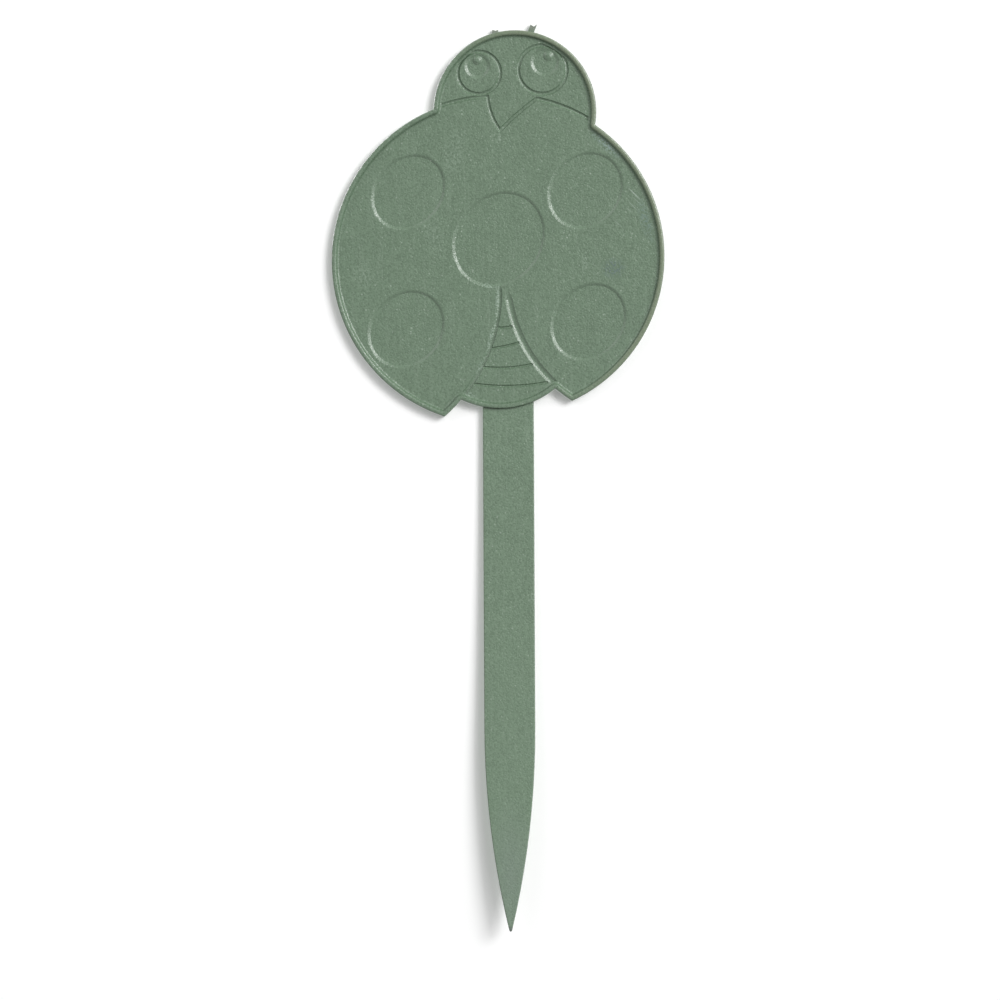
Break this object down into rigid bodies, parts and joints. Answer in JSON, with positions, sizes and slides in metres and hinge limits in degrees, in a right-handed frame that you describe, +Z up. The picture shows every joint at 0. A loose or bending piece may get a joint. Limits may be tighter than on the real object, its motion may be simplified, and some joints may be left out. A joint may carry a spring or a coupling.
{
  "type": "plant label stake",
  "caption": "Flat plant label: a ladybird-shaped plate with a raised rim, sunken spots and engraved lines, on a flat pointed stake that is pushed into soil.",
  "frame": {"origin": "on the stake's axis, in the middle of the blade's thickness, at the plate's lower edge: the end of the blade that can go into soil", "axes": "+Z up the stake towards the ladybird's head, +X to the right of a person who faces the relief, +Y out of the flat back; the relief faces -Y"},
  "size_m": [0.0782, 0.002, 0.2133],
  "materials": {
    "sage_plastic": "fine spark-eroded grain, matt to satin"
  },
  "bodies": {
    "root": {"label_plate": "sage_plastic", "stake": "sage_plastic"}
  },
  "joints": []
}
